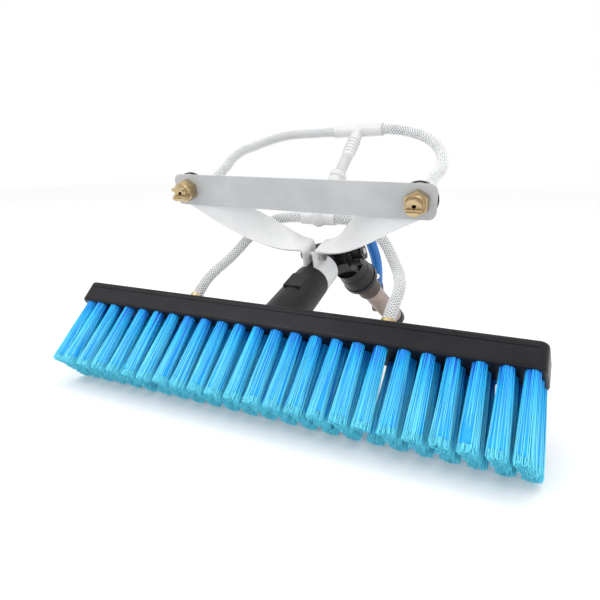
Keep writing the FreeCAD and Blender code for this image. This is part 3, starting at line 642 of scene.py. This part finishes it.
def tuft_hearts(name, places, seed):
    """The solid inside of each tuft, a flaring bundle with a lumpy end."""
    rng = random.Random(seed)
    points = []
    faces = []
    for x, row_y in places:
        first = len(points)
        lumps = [1 + rng.uniform(-HEART_LUMPS, HEART_LUMPS) for _ in range(HEART_SIDES)]
        for level in HEART_LEVELS:
            share = level / TUFT_OUT
            r = HEART_ROOT_R + HEART_FLARE * share**1.1
            for i in range(HEART_SIDES):
                a = 2 * math.pi * i / HEART_SIDES
                bulge = 1 + (lumps[i] - 1) * share * 2
                jag = rng.uniform(-HEART_JAG, HEART_JAG) if level > 0.05 else 0
                out = Vector((math.cos(a), math.sin(a), 0)) * r * bulge
                points.append(block @ (Vector((x, row_y, jag - level)) + out))
        for ring in range(len(HEART_LEVELS) - 1):
            for i in range(HEART_SIDES):
                a = first + ring * HEART_SIDES + i
                b = first + ring * HEART_SIDES + (i + 1) % HEART_SIDES
                faces.append((a, a + HEART_SIDES, b + HEART_SIDES, b))
        top = len(points)
        points.append(block @ Vector((x, row_y, 0)))
        tip = len(points)
        points.append(block @ Vector((x, row_y, -HEART_LEVELS[-1] + 0.001)))
        last = first + (len(HEART_LEVELS) - 1) * HEART_SIDES
        for i in range(HEART_SIDES):
            j = (i + 1) % HEART_SIDES
            faces.append((top, first + i, first + j))
            faces.append((tip, last + j, last + i))
    mesh = bpy.data.meshes.new(name)
    mesh.from_pydata(points, [], faces)
    mesh.polygons.foreach_set("use_smooth", [True] * len(mesh.polygons))
    mesh.update()
    piece = bpy.data.objects.new(name, mesh)
    bpy.context.scene.collection.objects.link(piece)
    piece.data.materials.append(heart_shaded_blue)
    return piece


# %% The bristles' tree
bristle_tree, given, result = start_tree("bristles", {
    "Bristles": ("Int", 300),
    "Root radius": ("Float", 0.0047),
    "Tip radius": ("Float", 0.0060),
    "Length": ("Float", TUFT_OUT),
    "Length loss": ("Float", 0.005),
    "Thickness": ("Float", 0.00032),
    "Bend": ("Float", 0.0006),
    "Stray": ("Float", 0.0009),
    "Seed": ("Int", 1),
    "Material": ("Material", None),
})
t = bristle_tree
copies = add(t, "GeometryNodeDuplicateElements", {"Geometry": given["Geometry"], "Amount": given["Bristles"]},
             domain="POINT")


def random_float(low, high, shift):
    node = add(t, "FunctionNodeRandomValue", data_type="FLOAT")
    node.inputs[2].default_value = low
    node.inputs[3].default_value = high
    t.links.new(math_node(t, "ADD", given["Seed"], shift), node.inputs["Seed"])
    return node.outputs[1]


out_share = math_node(t, "POWER", random_float(0.12, 1.0, 11), 0.5)
around = random_float(0, 2 * math.pi, 23)
root_r = math_node(t, "MULTIPLY", out_share, given["Root radius"])
tip_r = math_node(t, "MULTIPLY", out_share, given["Tip radius"])
cos_a = math_node(t, "COSINE", around)
sin_a = math_node(t, "SINE", around)
root = add(t, "ShaderNodeCombineXYZ", {"X": math_node(t, "MULTIPLY", root_r, cos_a),
                                       "Y": math_node(t, "MULTIPLY", root_r, sin_a)}).outputs[0]
stray_x = math_node(t, "MULTIPLY", random_float(-1, 1, 31), given["Stray"])
stray_y = math_node(t, "MULTIPLY", random_float(-1, 1, 43), given["Stray"])
loss = math_node(t, "MULTIPLY", math_node(t, "POWER", random_float(0, 1, 59), 2.0), given["Length loss"])
down = math_node(t, "SUBTRACT", loss, given["Length"])
tip = add(t, "ShaderNodeCombineXYZ", {
    "X": math_node(t, "ADD", math_node(t, "MULTIPLY", tip_r, cos_a), stray_x),
    "Y": math_node(t, "ADD", math_node(t, "MULTIPLY", tip_r, sin_a), stray_y),
    "Z": down,
}).outputs[0]
lean = vector_node(t, "SUBTRACT", tip, root)
placed = add(t, "GeometryNodeSetPosition", {"Geometry": copies.outputs["Geometry"], "Offset": root})
first = add(t, "FunctionNodeAlignRotationToVector", {"Vector": lean}, axis="Z")
spin = add(t, "FunctionNodeRotateRotation", {
    "Rotation": first.outputs[0],
    "Rotate By": add(t, "ShaderNodeCombineXYZ", {"Z": random_float(0, 6.283, 67)}).outputs[0],
}, rotation_space="LOCAL")
size = add(t, "ShaderNodeCombineXYZ", {"X": 1.0, "Y": 1.0, "Z": vector_node(t, "LENGTH", lean)}).outputs[0]
middle = add(t, "ShaderNodeCombineXYZ", {"X": given["Bend"], "Z": 0.55}).outputs[0]
bow = add(t, "GeometryNodeCurveQuadraticBezier",
          {"Resolution": 5, "Start": (0, 0, 0), "Middle": middle, "End": (0, 0, 1)})
section = add(t, "GeometryNodeCurvePrimitiveCircle", {"Resolution": 3, "Radius": given["Thickness"]})
bristle = add(t, "GeometryNodeCurveToMesh",
              {"Curve": bow.outputs[0], "Profile Curve": section.outputs[0], "Fill Caps": True})
spread = add(t, "GeometryNodeInstanceOnPoints", {
    "Points": placed.outputs[0], "Instance": bristle.outputs[0], "Rotation": spin.outputs[0], "Scale": size})
toned = keep_value(t, spread.outputs[0], "tone", random_float(0, 1, 79), "FLOAT", "INSTANCE")
whole = add(t, "GeometryNodeRealizeInstances", {"Geometry": toned})
painted = add(t, "GeometryNodeSetMaterial", {"Geometry": whole.outputs[0], "Material": given["Material"]})
t.links.new(painted.outputs[0], result["Geometry"])

# %% Grow the rows
def grow(name, places, seed):
    mesh = bpy.data.meshes.new(name)
    mesh.from_pydata([(x, y, 0) for x, y in places], [], [])
    piece = bpy.data.objects.new(name, mesh)
    bpy.context.scene.collection.objects.link(piece)
    piece = apply_tree(piece, bristle_tree, {"Seed": seed, "Material": bristle_blue})
    piece.data.transform(block)
    return piece


for seed, row in enumerate(ROWS, 4):
    heart = tuft_hearts(row + "_tuft_hearts", row_points(row), seed)
    coat = grow(row + "_bristles", row_points(row), seed)
    for piece in (heart, coat):
        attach(piece, "head")
    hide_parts(row + "_tufts")

# %% [markdown]
# ## Floor and light
# A pale floor and a white surround give the clean, even light of a catalogue picture. One
# large soft lamp above and one to the left shape the black plastic, whose edges would
# otherwise be lost.

# %% Floor and light
floor_mesh = bpy.data.meshes.new("floor")
floor_mesh.from_pydata([(-4, -4, 0), (4, -4, 0), (4, 4, 0), (-4, 4, 0)], [], [(0, 1, 2, 3)])
floor = bpy.data.objects.new("floor", floor_mesh)
bpy.context.scene.collection.objects.link(floor)
paper, tree, shader, place = new_material("pale_floor")
tree.links.new(ramp(tree, noise(tree, place, 3), [(0.3, (0.955, 0.955, 0.955)), (0.7, (0.97, 0.97, 0.97))]),
               shader.inputs["Base Color"])
shader.inputs["Roughness"].default_value = 0.9
floor_mesh.materials.append(paper)

world = bpy.data.worlds.new("surround")
world.use_nodes = True
world.node_tree.nodes["Background"].inputs["Color"].default_value = (1, 1, 1, 1)
world.node_tree.nodes["Background"].inputs["Strength"].default_value = 1.0
bpy.context.scene.world = world
bpy.context.scene.view_settings.view_transform = "Standard"


def soft_lamp(name, place, aim, side, power):
    data = bpy.data.lights.new(name, "AREA")
    data.size = side
    data.energy = power
    lamp = bpy.data.objects.new(name, data)
    lamp.location = place
    lamp.rotation_euler = (Vector(aim) - Vector(place)).to_track_quat("-Z", "Y").to_euler()
    bpy.context.scene.collection.objects.link(lamp)
    return lamp


soft_lamp("key", (-0.7, -0.9, 1.3), (0, 0, 0.08), 0.8, 7)
soft_lamp("top", (0.3, 0.2, 1.5), (0, 0, 0.08), 1.0, 4)
soft_lamp("front", (0.9, -1.2, 0.5), (0, -0.1, 0.1), 0.6, 2.5)
